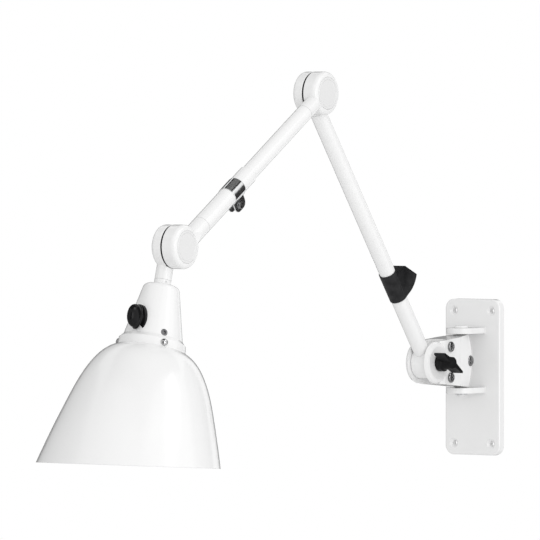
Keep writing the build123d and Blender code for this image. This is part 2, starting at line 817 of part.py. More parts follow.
with BuildPart() as clamp_screw:
    bar(hole_plane, clamp_screw_radius, -ear_offset - clamp_nut_height - 1, ear_offset)
    bar(hole_plane, clamp_head_radius, ear_offset, ear_offset + clamp_head_height)
    fillet(clamp_screw.faces().sort_by(Axis.X)[-1].edges(), clamp_head_height * 0.4)
    slot_top = ear_offset + clamp_head_height
    block(hole_plane, 2 * clamp_head_radius, clamp_head_height / 2, slot_top - clamp_head_height / 2, slot_top + 1, Mode.SUBTRACT)
finish(clamp_screw, "clamp_screw")

with BuildPart() as clamp_nut_piece:
    hexagon(hole_plane, clamp_nut, -ear_offset - clamp_nut_height, -ear_offset)
    bar(hole_plane, clamp_screw_radius, -ear_offset - clamp_nut_height, -ear_offset, Mode.SUBTRACT)
finish(clamp_nut_piece, "clamp_nut")

# Head joint: the forearm carries the front half, the head arm the rear half and the fasteners.
sleeve_spigot = sleeve_radius - sleeve_wall - 0.05
head_front_frame = leaning(along(upper, upper_length), upper_drop - 90)
head_front_housing = joint_half(head_front_frame, 1, front_inner, sleeve_radius, forearm_stub, sleeve_spigot, front_bore)
finish(head_front_housing, "head_front_housing")
head_front_cap = joint_cap(head_front_frame, 1)
finish(head_front_cap, "head_front_cap")

head_rear_half = joint_half(head_down, -1, rear_inner, tube_radius, head_stub, None, rear_bore)
with BuildPart() as head_rear_housing:
    add(head_rear_half.part)
    bar(head_down, stem_radius, stem_start, head_stub, Mode.SUBTRACT)
finish(head_rear_housing, "head_rear_housing")
head_rear_cap = joint_cap(head_down, -1)
finish(head_rear_cap, "head_rear_cap")
head_bolt = joint_bolt(head_down)
finish(head_bolt, "head_bolt")
head_spring_washer = joint_spring_washer(head_down)
finish(head_spring_washer, "head_spring_washer")
head_nut = joint_nut_piece(head_down)
finish(head_nut, "head_nut")
head_gasket = joint_gasket(head_down)
finish(head_gasket, "head_gasket")

# ---------------------------------------------------------------- head arm
stem_bore_radius = stem_radius + running_gap
roof_foot = neck_foot + housing_roof
with BuildPart() as head_stem:
    ring(head_down, stem_radius, stem_bore, stem_start, stem_end)
finish(head_stem, "head_stem")

with BuildPart() as stem_nut:
    nut_start = roof_foot + face_gap
    hexagon(head_down, stem_nut_flats, nut_start, nut_start + stem_nut_height)
    bar(head_down, stem_radius, nut_start, nut_start + stem_nut_height, Mode.SUBTRACT)
finish(stem_nut, "stem_nut")

# ---------------------------------------------------------------- lamp head
neck_screw_frame = radial_frame(head_down, neck_screw_height, neck_screw_turn)
neck_tap = neck_screw_radius + 0.02
with BuildPart() as neck_collar:
    ring(head_down, tube_radius, stem_bore_radius, head_stub + face_gap, neck_foot)
    bar(neck_screw_frame, neck_tap, stem_radius, tube_radius + 1, Mode.SUBTRACT)
finish(neck_collar, "neck_collar")

with BuildPart() as neck_set_screw:
    bar(neck_screw_frame, neck_screw_radius, stem_radius + face_gap, tube_radius - 0.2)
    hexagon(neck_screw_frame, neck_screw_radius, tube_radius - 1.2, tube_radius, Mode.SUBTRACT)
finish(neck_set_screw, "neck_set_screw")

cone_slope = (cone_foot_radius - housing_shoulder_radius) / (cone_foot - housing_shoulder)
upper_screw_height = cone_foot - upper_screw_up
lower_screw_height = band_top + lower_screw_down
ring_top = upper_screw_height - ring_above_screw
ring_foot = ring_top + ring_height
holder_top = ring_top - holder_rise
holder_foot = holder_top + holder_length


def cone_radius(height):
    """Outer radius of the housing's cone at a height."""
    return housing_shoulder_radius + (height - housing_shoulder) * cone_slope


def housing_outside(plane, shrink=0.0, top=neck_foot, foot=band_foot):
    """The housing's outer shape, or the shape inside its walls, as a solid outline."""
    with BuildSketch(plane) as outline:
        with BuildLine():
            Polyline(
                (0, top),
                (cone_radius(top) - shrink, top),
                (cone_foot_radius - shrink, cone_foot + shrink * cone_slope),
                (band_radius - band_edge / 2 - shrink, band_top + shrink * cone_slope),
                (band_radius - shrink, foot),
                (0, foot),
                close=True,
            )
        make_face()
        corners = outline.vertices().sort_by_distance((cone_radius(top) - shrink, top))
        fillet(corners[0], housing_crown - shrink)
    return outline.sketch


head_profile = profile_plane(head_down)
screw_frames = [radial_frame(head_down, 0, screw_turn + third * 120) for third in range(3)]
switch_frame = radial_frame(head_down, switch_height)


def at_height(frame, height):
    """The same radial frame at another height."""
    return Plane(origin=frame.origin + frame.x_dir * height, x_dir=frame.x_dir, z_dir=frame.z_dir)


upper_tap = upper_screw_radius + 0.02
with BuildPart() as lamp_housing:
    revolve(housing_outside(head_profile), axis=Axis(head_down.origin, head_down.z_dir))
    inside = housing_outside(head_profile, housing_wall, roof_foot, band_foot + 1)
    revolve(inside, axis=Axis(head_down.origin, head_down.z_dir), mode=Mode.SUBTRACT)
    bar(head_down, stem_bore_radius, neck_foot - 1, roof_foot + 1, Mode.SUBTRACT)
    bar(switch_frame, switch_hole, switch_body_out, flange_boss_out, Mode.SUBTRACT)
    for frame in screw_frames:
        bar(at_height(frame, upper_screw_height), upper_tap, holder_radius, band_radius, Mode.SUBTRACT)
        bar(at_height(frame, lower_screw_height), dome_shank + 0.02, holder_radius, 2 * band_radius, Mode.SUBTRACT)
finish(lamp_housing, "lamp_housing")

upper_screw_out = cone_radius(upper_screw_height) - upper_screw_sink
with BuildPart() as housing_screws:
    for frame in screw_frames:
        at = at_height(frame, upper_screw_height)
        bar(at, upper_screw_shank, upper_screw_out - upper_screw_length, upper_screw_out)
        bar(at, upper_screw_radius, upper_screw_out - upper_screw_head, upper_screw_out)
        hexagon(at, upper_screw_radius, upper_screw_out - 1.6, upper_screw_out, Mode.SUBTRACT)
finish(housing_screws, "housing_screws")

with BuildPart() as shade_screws:
    for frame in screw_frames:
        at = at_height(frame, lower_screw_height)
        bar(at, dome_shank, band_radius - dome_shank_length, band_radius)
        turn(
            Plane(origin=at.origin, x_dir=at.x_dir, z_dir=-at.y_dir),
            [
                (0, band_radius),
                (dome_radius, band_radius),
                (dome_radius * 0.92, band_radius + dome_height * 0.45),
                (dome_radius * 0.6, band_radius + dome_height * 0.85),
                (0, band_radius + dome_height),
            ],
        )
finish(shade_screws, "shade_screws")

# lampholder
ring_clearance = 0.05
with BuildPart() as lampholder_ring:
    turn(
        head_profile,
        [
            (holder_radius + ring_clearance, ring_top),
            (cone_radius(ring_top) - housing_wall - 3 * ring_clearance, ring_top),
            (cone_radius(ring_foot) - housing_wall - 3 * ring_clearance, ring_foot),
            (holder_radius + ring_clearance, ring_foot),
        ],
    )
    for frame in screw_frames:
        bar(at_height(frame, upper_screw_height), upper_screw_shank + 0.02, holder_radius + 1, band_radius, Mode.SUBTRACT)
    with BuildSketch(head_down.offset(ring_top)) as holes:
        with PolarLocations(holder_screw_out, 2):
            Circle(holder_screw_radius + 0.02)
    extrude(holes.sketch, amount=ring_foot - ring_top, mode=Mode.SUBTRACT)
finish(lampholder_ring, "lampholder_ring")

flange_foot = ring_foot + holder_flange
socket_floor = holder_top + holder_floor
shell_seat = socket_floor + contact_well
with BuildPart() as lampholder_body:
    bar(head_down, holder_radius, holder_top, holder_foot)
    bar(head_down, holder_flange_radius, ring_foot, flange_foot)
    bar(head_down, holder_radius - holder_wall, shell_seat, holder_foot, Mode.SUBTRACT)
    bar(head_down, contact_well_radius, socket_floor, shell_seat, Mode.SUBTRACT)
    with BuildSketch(head_down.offset(ring_foot)) as holes:
        with PolarLocations(holder_screw_out, 2):
            Circle(holder_screw_radius + 0.02)
    extrude(holes.sketch, amount=holder_flange, mode=Mode.SUBTRACT)
    rim_face = lampholder_body.faces().sort_by(Axis(head_down.origin, head_down.z_dir))[-1]
    chamfer(rim_face.edges(), holder_wall / 4)
finish(lampholder_body, "lampholder_body")

with BuildPart() as holder_screws:
    with Locations(head_down.offset(ring_top)):
        with PolarLocations(holder_screw_out, 2):
            Cylinder(holder_screw_radius, flange_foot - ring_top, align=(Align.CENTER, Align.CENTER, Align.MIN))
    with Locations(head_down.offset(flange_foot)):
        with PolarLocations(holder_screw_out, 2):
            Cylinder(holder_screw_head, holder_screw_radius, align=(Align.CENTER, Align.CENTER, Align.MIN))
finish(holder_screws, "holder_screws")

with BuildPart() as socket_shell:
    ring(head_down, shell_bore + shell_thickness, shell_bore, shell_seat, shell_seat + shell_length)
    lip = holder_radius - holder_wall
    ring(head_down, lip, shell_bore, shell_seat, shell_seat + shell_thickness)
finish(socket_shell, "socket_shell")

with BuildPart() as centre_contact:
    bar(head_down, contact_radius, socket_floor, socket_floor + contact_height)
    fillet(centre_contact.faces().sort_by(Axis(head_down.origin, head_down.z_dir))[-1].edges(), contact_height / 3)
finish(centre_contact, "centre_contact")

# ---------------------------------------------------------------- shade
neck_outer = band_radius - housing_wall - band_edge / 2 - running_gap
neck_inner = neck_outer - shade_wall
shade_top = shade_profile[0][1]
rim_origin = along(head_down, rim_height)
rim_normal = head_down.z_dir * cos(radians(rim_slant)) - head_down.y_dir * sin(radians(rim_slant))
rim_plane = Plane(origin=rim_origin, x_dir=right, z_dir=rim_normal)


def inward(curve, part):
    """The point of the bell's inner wall behind a part of its outer wall."""
    along_wall = curve % part
    return (curve @ part) + Vector(-along_wall.Y, along_wall.X, 0) * shade_wall


with BuildPart() as shade:
    with BuildSketch(head_profile) as bell:
        with BuildLine():
            outer_wall = Spline(*shade_profile)
            inner_wall = Spline(*[inward(outer_wall, step / 12) for step in range(13)])
            Line(outer_wall @ 0, inner_wall @ 0)
            Line(outer_wall @ 1, inner_wall @ 1)
        make_face()
    revolve(bell.sketch, axis=Axis(head_down.origin, head_down.z_dir))
    ring(head_down, shade_profile[0][0], neck_inner, shade_top, shade_top + shade_wall)
    ring(head_down, neck_outer, neck_inner, shade_top - neck_rise, shade_top + shade_wall)
    for frame in screw_frames:
        bar(at_height(frame, lower_screw_height), dome_shank + 0.02, holder_radius, band_radius, Mode.SUBTRACT)
    split(bisect_by=rim_plane, keep=Keep.BOTTOM)
finish(shade, "shade")

with BuildPart() as shade_collar:
    collar_top = lower_screw_height - collar_height / 2
    ring(head_down, neck_inner, neck_inner - collar_thickness, collar_top, collar_top + collar_height)
    for frame in screw_frames:
        bar(at_height(frame, lower_screw_height), dome_shank, holder_radius, band_radius, Mode.SUBTRACT)
finish(shade_collar, "shade_collar")

# ---------------------------------------------------------------- rotary switch
cone_lean = degrees(atan(cone_slope))
flange_front = cone_radius(switch_height) + flange_rise / cos(radians(cone_lean))
flange_plane = switch_frame.offset(flange_front).rotated((0, -cone_lean, 0))
with BuildPart() as switch_flange:
    # oval plate that lies along the cone, and a round boss square to the shaft
    with BuildSketch(flange_plane.offset(-flange_edge)) as flange_oval:
        Ellipse(flange_half_height, flange_half_width)
    extrude(flange_oval.sketch, amount=flange_edge - flange_rise - flange_half_width)
    with BuildSketch(flange_plane) as flange_rim:
        Ellipse(flange_half_height - flange_edge, flange_half_width - flange_edge)
    loft([flange_oval.sketch.face(), flange_rim.sketch.face()])
    bar(switch_frame, flange_boss_radius, switch_body_out, flange_boss_out)
    revolve(housing_outside(head_profile), axis=Axis(head_down.origin, head_down.z_dir), mode=Mode.SUBTRACT)
    bar(switch_frame, switch_hole, 0, flange_boss_out, Mode.SUBTRACT)
finish(switch_flange, "switch_flange")

nut_out = flange_boss_out + switch_nut_height
shaft_bore = switch_shaft + running_gap
with BuildPart() as switch_body:
    body_in = switch_body_out - switch_body_depth
    block(switch_frame, switch_body_height, switch_body_width, body_in, switch_body_out)
    bar(switch_frame, bushing_radius, switch_body_out, nut_out)
    bar(switch_frame, shaft_bore, body_in + 2, nut_out, Mode.SUBTRACT)
finish(switch_body, "switch_body")

with BuildPart() as switch_nut:
    hexagon(switch_frame, switch_nut_flats, flange_boss_out, nut_out)
    bar(switch_frame, bushing_radius, flange_boss_out, nut_out, Mode.SUBTRACT)
finish(switch_nut, "switch_nut")

with BuildPart() as switch_knob:
    # grip: an oval base that narrows to a rounded ridge in line with the head
    ovals = []
    for out, half_height, half_width in grip_sections:
        with BuildSketch(switch_frame.offset(out)) as oval:
            Ellipse(half_height, half_width)
        ovals.append(oval.sketch.face())
    loft(ovals)
    nut_room = nut_out + 2 * knob_gap
    nut_room_radius = switch_nut_flats / sqrt(3) + knob_gap
    bar(switch_frame, nut_room_radius, grip_sections[0][0], nut_room, Mode.SUBTRACT)
    bar(switch_frame, switch_shaft, nut_room, switch_shaft_end, Mode.SUBTRACT)
finish(switch_knob, "switch_knob")

with BuildPart() as switch_shaft_piece:
    bar(switch_frame, switch_shaft, body_in + 2 + face_gap, switch_shaft_end)
finish(switch_shaft_piece, "switch_shaft")
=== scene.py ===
import json
from math import acos, cos, pi, radians, sin, sqrt
import bmesh
import bpy
from mathutils import Matrix, Vector


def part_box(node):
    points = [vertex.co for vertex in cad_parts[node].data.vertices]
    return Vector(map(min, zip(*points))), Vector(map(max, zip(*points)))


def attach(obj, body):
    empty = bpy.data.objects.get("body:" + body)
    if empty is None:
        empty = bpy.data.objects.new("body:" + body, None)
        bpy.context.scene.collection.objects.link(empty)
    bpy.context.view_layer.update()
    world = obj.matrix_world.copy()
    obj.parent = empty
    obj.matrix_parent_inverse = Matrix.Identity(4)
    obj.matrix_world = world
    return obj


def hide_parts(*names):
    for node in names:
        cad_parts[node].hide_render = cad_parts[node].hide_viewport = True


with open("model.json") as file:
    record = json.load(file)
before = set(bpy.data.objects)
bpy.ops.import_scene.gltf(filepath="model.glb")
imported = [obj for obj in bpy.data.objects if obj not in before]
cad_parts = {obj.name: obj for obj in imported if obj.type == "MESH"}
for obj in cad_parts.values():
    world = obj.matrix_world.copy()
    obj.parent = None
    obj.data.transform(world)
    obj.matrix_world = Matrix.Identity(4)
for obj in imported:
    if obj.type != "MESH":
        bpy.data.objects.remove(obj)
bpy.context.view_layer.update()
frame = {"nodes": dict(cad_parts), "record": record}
lampNodes = frame["nodes"]
bpy.context.scene.view_settings.view_transform = "Standard"
print("frame loaded:", len(lampNodes), "nodes")


# small helpers for node trees
def addNode(tree, kind, place=(0, 0), **settings):
    node = tree.nodes.new(kind)
    node.location = place
    for key, value in settings.items():
        setattr(node, key, value)
    return node


def wire(tree, fromSocket, toSocket):
    tree.links.new(fromSocket, toSocket)


def newGroup(name, inputs, outputs):
    group = bpy.data.node_groups.new(name, "ShaderNodeTree")
    for label, kind, default in inputs:
        socket = group.interface.new_socket(label, in_out="INPUT", socket_type=kind)
        socket.default_value = default
    for label, kind in outputs:
        group.interface.new_socket(label, in_out="OUTPUT", socket_type=kind)
    return group, addNode(group, "NodeGroupInput", (-900, 0)), addNode(group, "NodeGroupOutput", (700, 0))


def placeGroup(tree, group, place, values):
    node = addNode(tree, "ShaderNodeGroup", place, node_tree=group)
    for label, value in values.items():
        node.inputs[label].default_value = value
    return node


# small helpers for objects and meshes; shapes are worked out in mm and stored in metres
softEdge = {"segments": 3, "angle": 35}
nearAxis = 0.02  # turned profiles stop this far from their axis, so that no face collapses


def addObject(name, data):
    made = bpy.data.objects.new(name, data)
    bpy.context.scene.collection.objects.link(made)
    return made


def armFrame(origin, along):
    # the axes that a stretch of the arm is built on: right, across it, along it
    right = Vector((1, 0, 0))
    matrix = Matrix((right, along.cross(right), along)).transposed().to_4x4()
    matrix.translation = origin
    return matrix


def finishMesh(name, mesh, material, body, matrix=None, bevel=0.0):
    # the bevel is a width in mm
    if matrix is not None:
        mesh.transform(matrix)
    piece = addObject(name, mesh)
    piece.data.materials.append(material)
    for face in piece.data.polygons:
        face.use_smooth = True
    if bevel:
        soften = piece.modifiers.new("softEdges", "BEVEL")
        soften.width = bevel / 1000
        soften.segments = softEdge["segments"]
        soften.limit_method = "ANGLE"
        soften.angle_limit = radians(softEdge["angle"])
        soften.harden_normals = True
    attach(piece, body)
    return piece


def meshFrom(name, points, faces):
    mesh = bpy.data.meshes.new(name)
    mesh.from_pydata([Vector(point) / 1000 for point in points], [], faces)
    mesh.validate()
    shaped = bmesh.new()
    shaped.from_mesh(mesh)
    bmesh.ops.recalc_face_normals(shaped, faces=shaped.faces)
    shaped.to_mesh(mesh)
    shaped.free()
    return mesh


def gridMesh(name, rows, closedRows=False, closedColumns=False, capped=False):
    # rows of points joined into faces; every row holds the same number of points
    count, columns = len(rows), len(rows[0])
    faces = []
    for row in range(count if closedRows else count - 1):
        for column in range(columns if closedColumns else columns - 1):
            here, there = row * columns, (row + 1) % count * columns
            following = (column + 1) % columns
            faces.append((here + column, here + following, there + following, there + column))
    if capped:
        faces.append(tuple(range(columns)))
        faces.append(tuple(range((count - 1) * columns, count * columns)))
    return meshFrom(name, [point for row in rows for point in row], faces)


def turnedMesh(name, profile, segments=96):
    # a closed profile of (radius, height) turned about Z
    rows = []
    for step in range(segments):
        angle = 2 * pi * step / segments
        rows.append([(radius * cos(angle), radius * sin(angle), height) for radius, height in profile])
    return gridMesh(name, rows, closedRows=True, closedColumns=True)


def joinMeshes(name, parts):
    # several meshes, each with its own placing, as one
    joined = bmesh.new()
    for mesh, matrix in parts:
        moved = mesh.copy()
        moved.transform(matrix)
        joined.from_mesh(moved)
        bpy.data.meshes.remove(moved)
    whole = bpy.data.meshes.new(name)
    joined.to_mesh(whole)
    joined.free()
    return whole


# effects that several finishes share
coatGrain, grainIn, grainOut = newGroup(
    "coatGrain",
    [("Grain size", "NodeSocketFloat", 900.0), ("Blotch size", "NodeSocketFloat", 14.0)],
    [("Height", "NodeSocketFloat"), ("Tone", "NodeSocketFloat")],
)
coordinates = addNode(coatGrain, "ShaderNodeTexCoord", (-900, -250))
fineGrain = addNode(coatGrain, "ShaderNodeTexNoise", (-500, 100))
fineGrain.inputs["Detail"].default_value = 2.0
broadTone = addNode(coatGrain, "ShaderNodeTexNoise", (-500, -250))
broadTone.inputs["Detail"].default_value = 3.0
wire(coatGrain, coordinates.outputs["Object"], fineGrain.inputs["Vector"])
wire(coatGrain, coordinates.outputs["Object"], broadTone.inputs["Vector"])
wire(coatGrain, grainIn.outputs["Grain size"], fineGrain.inputs["Scale"])
wire(coatGrain, grainIn.outputs["Blotch size"], broadTone.inputs["Scale"])
wire(coatGrain, fineGrain.outputs["Fac"], grainOut.inputs["Height"])
wire(coatGrain, broadTone.outputs["Fac"], grainOut.inputs["Tone"])

edgeRub, rubIn, rubOut = newGroup(
    "edgeRub",
    [
        ("Start", "NodeSocketFloat", 0.53),
        ("Full", "NodeSocketFloat", 0.6),
        ("Breakup", "NodeSocketFloat", 160.0),
    ],
    [("Mask", "NodeSocketFloat")],
)
surface = addNode(edgeRub, "ShaderNodeNewGeometry", (-900, -250))
rubCoordinates = addNode(edgeRub, "ShaderNodeTexCoord", (-900, -500))
rubNoise = addNode(edgeRub, "ShaderNodeTexNoise", (-650, -400))
edgeRange = addNode(edgeRub, "ShaderNodeMapRange", (-400, 0))
rubMix = addNode(edgeRub, "ShaderNodeMath", (-100, 0), operation="MULTIPLY")
wire(edgeRub, surface.outputs["Pointiness"], edgeRange.inputs["Value"])
wire(edgeRub, rubIn.outputs["Start"], edgeRange.inputs["From Min"])
wire(edgeRub, rubIn.outputs["Full"], edgeRange.inputs["From Max"])
wire(edgeRub, rubCoordinates.outputs["Object"], rubNoise.inputs["Vector"])
wire(edgeRub, rubIn.outputs["Breakup"], rubNoise.inputs["Scale"])
wire(edgeRub, edgeRange.outputs["Result"], rubMix.inputs[0])
wire(edgeRub, rubNoise.outputs["Fac"], rubMix.inputs[1])
wire(edgeRub, rubMix.outputs["Value"], rubOut.inputs["Mask"])

drawnLines, linesIn, linesOut = newGroup(
    "drawnLines",
    [("Across", "NodeSocketFloat", 2600.0), ("Along", "NodeSocketFloat", 60.0)],
    [("Height", "NodeSocketFloat")],
)
lineCoordinates = addNode(drawnLines, "ShaderNodeTexCoord", (-900, -250))
lineScale = addNode(drawnLines, "ShaderNodeCombineXYZ", (-650, 0))
stretch = addNode(drawnLines, "ShaderNodeVectorMath", (-400, -100), operation="MULTIPLY")
lineNoise = addNode(drawnLines, "ShaderNodeTexNoise", (-150, 0))
lineNoise.inputs["Scale"].default_value = 1.0
lineNoise.inputs["Detail"].default_value = 2.0
for axis, source in (("X", "Across"), ("Y", "Along"), ("Z", "Along")):
    wire(drawnLines, linesIn.outputs[source], lineScale.inputs[axis])
wire(drawnLines, lineCoordinates.outputs["Object"], stretch.inputs[0])
wire(drawnLines, lineScale.outputs["Vector"], stretch.inputs[1])
wire(drawnLines, stretch.outputs["Vector"], lineNoise.inputs["Vector"])
wire(drawnLines, lineNoise.outputs["Fac"], linesOut.inputs["Height"])
print("shared effects ready")


# finishes: which stretch of the noise the tones and the roughness span, and how finely edges are rounded
clouding = {"toneFrom": 0.35, "toneTo": 0.65, "roughFrom": 0.3, "roughTo": 0.7}
edgeSamples = 6


def newFinish(name, colour, roughness, metallic=0.0):
    material = bpy.data.materials.new(name)
    material.use_nodes = True
    tree = material.node_tree
    shader = tree.nodes["Principled BSDF"]
    shader.inputs["Base Color"].default_value = (*colour, 1)
    shader.inputs["Roughness"].default_value = roughness
    shader.inputs["Metallic"].default_value = metallic
    material.diffuse_color = (*colour, 1)
    return material, tree, shader


def toneBetween(tree, factorSocket, low, high, place):
    ramp = addNode(tree, "ShaderNodeValToRGB", place)
    ramp.color_ramp.elements[0].position = clouding["toneFrom"]
    ramp.color_ramp.elements[0].color = (*low, 1)
    ramp.color_ramp.elements[1].position = clouding["toneTo"]
    ramp.color_ramp.elements[1].color = (*high, 1)
    wire(tree, factorSocket, ramp.inputs["Fac"])
    return ramp.outputs["Color"]


def roughBetween(tree, factorSocket, low, high, place):
    span = addNode(tree, "ShaderNodeMapRange", place)
    span.inputs["From Min"].default_value = clouding["roughFrom"]
    span.inputs["From Max"].default_value = clouding["roughTo"]
    span.inputs["To Min"].default_value = low
    span.inputs["To Max"].default_value = high
    wire(tree, factorSocket, span.inputs["Value"])
    return span.outputs["Result"]


def cloudedBase(tree, shader, look):
    # what every finish starts from: the grain, with the tone and the roughness that it clouds
    sizes = {"Grain size": look["grain"], "Blotch size": look["blotch"]}
    grain = placeGroup(tree, coatGrain, (-900, 0), sizes)
    clouds = grain.outputs["Tone"]
    rougher = look["roughness"] + look["roughSpread"]
    rough = roughBetween(tree, clouds, look["roughness"], rougher, (-600, -100))
    wire(tree, rough, shader.inputs["Roughness"])
    tone = toneBetween(tree, clouds, look["colour"], look["paler"], (-600, 200))
    return tone, grain.outputs["Height"]


def bumpFrom(tree, heightSocket, shader, look):
    # fine relief over edges that catch the light as softly rounded ones do
    roundedEdge = addNode(tree, "ShaderNodeBevel", (-550, -550), samples=edgeSamples)
    roundedEdge.inputs["Radius"].default_value = look["edge"]
    bump = addNode(tree, "ShaderNodeBump", (-300, -400))
    bump.inputs["Strength"].default_value = look["bump"]
    bump.inputs["Distance"].default_value = look["bumpDepth"]
    wire(tree, heightSocket, bump.inputs["Height"])
    wire(tree, roundedEdge.outputs["Normal"], bump.inputs["Normal"])
    wire(tree, bump.outputs["Normal"], shader.inputs["Normal"])


def rubbedEdges(tree, colourSocket, look):
    limits = {"Start": look["rubStart"], "Full": look["rubFull"]}
    rub = placeGroup(tree, edgeRub, (-900, -300), limits)
    blend = addNode(tree, "ShaderNodeMix", (-250, 200), data_type="RGBA")
    blend.inputs["B"].default_value = (*look["rubbed"], 1)
    wire(tree, rub.outputs["Mask"], blend.inputs["Factor"])
    wire(tree, colourSocket, blend.inputs["A"])
    return blend.outputs["Result"]


def paintedRimShade(tree, colourSocket, look):
    # painted shade: the colour is darkened where the surface turns away from the eye, a dark outline along
    # silhouettes
    facing = addNode(tree, "ShaderNodeLayerWeight", (-600, 500))
    facing.inputs["Blend"].default_value = 0.5
    paintedRimRange = addNode(tree, "ShaderNodeMapRange", (-400, 500))
    paintedRimRange.inputs["From Min"].default_value = look["paintedRimStart"]
    paintedRimRange.inputs["From Max"].default_value = 1.0
    paintedRimBlend = addNode(tree, "ShaderNodeMix", (-100, 300), data_type="RGBA")
    paintedRimBlend.inputs["B"].default_value = (*look["paintedRimTone"], 1)
    wire(tree, facing.outputs["Facing"], paintedRimRange.inputs["Value"])
    wire(tree, paintedRimRange.outputs["Result"], paintedRimBlend.inputs["Factor"])
    wire(tree, colourSocket, paintedRimBlend.inputs["A"])
    return paintedRimBlend.outputs["Result"]


def coatedFinish(name, look):
    # powder coat, moulded plastic, rubber and porcelain: a body colour with fine grain
    material, tree, shader = newFinish(name, look["colour"], look["roughness"])
    tone, height = cloudedBase(tree, shader, look)
    if "rubbed" in look:
        tone = rubbedEdges(tree, tone, look)
    # painted shade: a dark outline where the coat turns away from the eye
    if "paintedRimTone" in look:
        tone = paintedRimShade(tree, tone, look)
    wire(tree, tone, shader.inputs["Base Color"])
    shader.inputs["Specular IOR Level"].default_value = look["gloss"]
    bumpFrom(tree, height, shader, look)
    return material


def metalFinish(name, look):
    # bare or plated metal: drawn lines over a slightly clouded tone
    material, tree, shader = newFinish(name, look["colour"], look["roughness"], 1.0)
    tone = cloudedBase(tree, shader, look)[0]
    wire(tree, tone, shader.inputs["Base Color"])
    lines = placeGroup(tree, drawnLines, (-900, -350), {"Across": look["across"], "Along": look["along"]})
    bumpFrom(tree, lines.outputs["Height"], shader, look)
    return material


whiteCoatLook = {
    "colour": (0.83, 0.83, 0.83), "paler": (0.85, 0.85, 0.849), "roughness": 0.16, "roughSpread": 0.04,
    # the rim tone and where it starts set a painted dark outline along silhouettes
    "paintedRimTone": (0.26, 0.26, 0.26), "paintedRimStart": 0.76,
    "grain": 1100.0, "blotch": 9.0, "gloss": 0.42, "bump": 0.05, "bumpDepth": 0.0003, "edge": 0.0005,
    "rubbed": (0.9, 0.9, 0.9), "rubStart": 0.55, "rubFull": 0.66,
}
whiteCoat = coatedFinish("whiteCoat", whiteCoatLook)

capCoatLook = dict(whiteCoatLook, colour=(0.765, 0.765, 0.765), paler=(0.785, 0.785, 0.784))
capCoat = coatedFinish("capCoat", capCoatLook)

blackPlasticLook = {
    "colour": (0.006, 0.006, 0.0065), "paler": (0.01, 0.01, 0.0105), "roughness": 0.34, "roughSpread": 0.1,
    "grain": 1500.0, "blotch": 40.0, "gloss": 0.1, "bump": 0.12, "bumpDepth": 0.0003, "edge": 0.0005,
    "rubbed": (0.04, 0.04, 0.042), "rubStart": 0.54, "rubFull": 0.64,
}
blackPlastic = coatedFinish("blackPlastic", blackPlasticLook)

switchPlasticLook = dict(blackPlasticLook, roughness=0.1, roughSpread=0.04, gloss=0.14, bump=0.05)
switchPlastic = coatedFinish("switchPlastic", switchPlasticLook)

gasketLook = {
    "colour": (0.003, 0.003, 0.003), "paler": (0.006, 0.006, 0.006), "roughness": 0.6, "roughSpread": 0.15,
    "grain": 1800.0, "blotch": 60.0, "gloss": 0.1, "bump": 0.2, "bumpDepth": 0.0002, "edge": 0.0005,
}
gasketRubber = coatedFinish("gasketRubber", gasketLook)

paleWasherLook = {
    "colour": (0.62, 0.62, 0.6), "paler": (0.7, 0.7, 0.68), "roughness": 0.45, "roughSpread": 0.1,
    "grain": 1200.0, "blotch": 50.0, "gloss": 0.45, "bump": 0.08, "bumpDepth": 0.0002, "edge": 0.0005,
}
paleWasher = coatedFinish("paleWasher", paleWasherLook)

porcelainLook = {
    "colour": (0.8, 0.79, 0.75), "paler": (0.86, 0.85, 0.82), "roughness": 0.14, "roughSpread": 0.08,
    "grain": 500.0, "blotch": 25.0, "gloss": 0.6, "bump": 0.04, "bumpDepth": 0.0004, "edge": 0.0005,
}
porcelain = coatedFinish("porcelain", porcelainLook)

# grey rings in the seams: painted shadow where the gaps between parts fall into shade
seamShadowLook = {
    "colour": (0.5, 0.5, 0.5), "paler": (0.56, 0.56, 0.56), "roughness": 0.6, "roughSpread": 0.1,
    "grain": 1100.0, "blotch": 9.0, "gloss": 0.2, "bump": 0.05, "bumpDepth": 0.0002, "edge": 0.0002,
}
paintedSeamShadow = coatedFinish("paintedSeamShadow", seamShadowLook)

zincLook = {
    "colour": (0.5, 0.51, 0.52), "paler": (0.6, 0.61, 0.62), "roughness": 0.3, "roughSpread": 0.12,
    "grain": 900.0, "blotch": 70.0, "across": 1400.0, "along": 500.0,
    "bump": 0.12, "bumpDepth": 0.0002, "edge": 0.0005,
}
zincSteel = metalFinish("zincSteel", zincLook)

clampSteelLook = {
    "colour": (0.78, 0.785, 0.79), "paler": (0.86, 0.865, 0.87), "roughness": 0.1, "roughSpread": 0.06,
    "grain": 900.0, "blotch": 90.0, "across": 300.0, "along": 1900.0,
    "bump": 0.04, "bumpDepth": 0.0002, "edge": 0.0005,
}
clampSteel = metalFinish("clampSteel", clampSteelLook)

domeSteelLook = dict(clampSteelLook, colour=(0.5, 0.5, 0.505), paler=(0.6, 0.6, 0.605), roughness=0.14)
domeSteel = metalFinish("domeSteel", domeSteelLook)

darkSteelLook = {
    "colour": (0.1, 0.1, 0.103), "paler": (0.16, 0.16, 0.165), "roughness": 0.24, "roughSpread": 0.12,
    "grain": 900.0, "blotch": 90.0, "across": 600.0, "along": 900.0,
    "bump": 0.12, "bumpDepth": 0.0002, "edge": 0.0005,
}
darkSteel = metalFinish("darkSteel", darkSteelLook)

screwSteelLook = dict(
    darkSteelLook, colour=(0.2, 0.2, 0.203), paler=(0.28, 0.28, 0.284), roughness=0.1, roughSpread=0.05,
)
screwSteel = metalFinish("screwSteel", screwSteelLook)

brassLook = {
    "colour": (0.6, 0.43, 0.18), "paler": (0.72, 0.55, 0.27), "roughness": 0.28, "roughSpread": 0.14,
    "grain": 900.0, "blotch": 60.0, "across": 1200.0, "along": 300.0,
    "bump": 0.08, "bumpDepth": 0.0002, "edge": 0.0005,
}
brass = metalFinish("brass", brassLook)

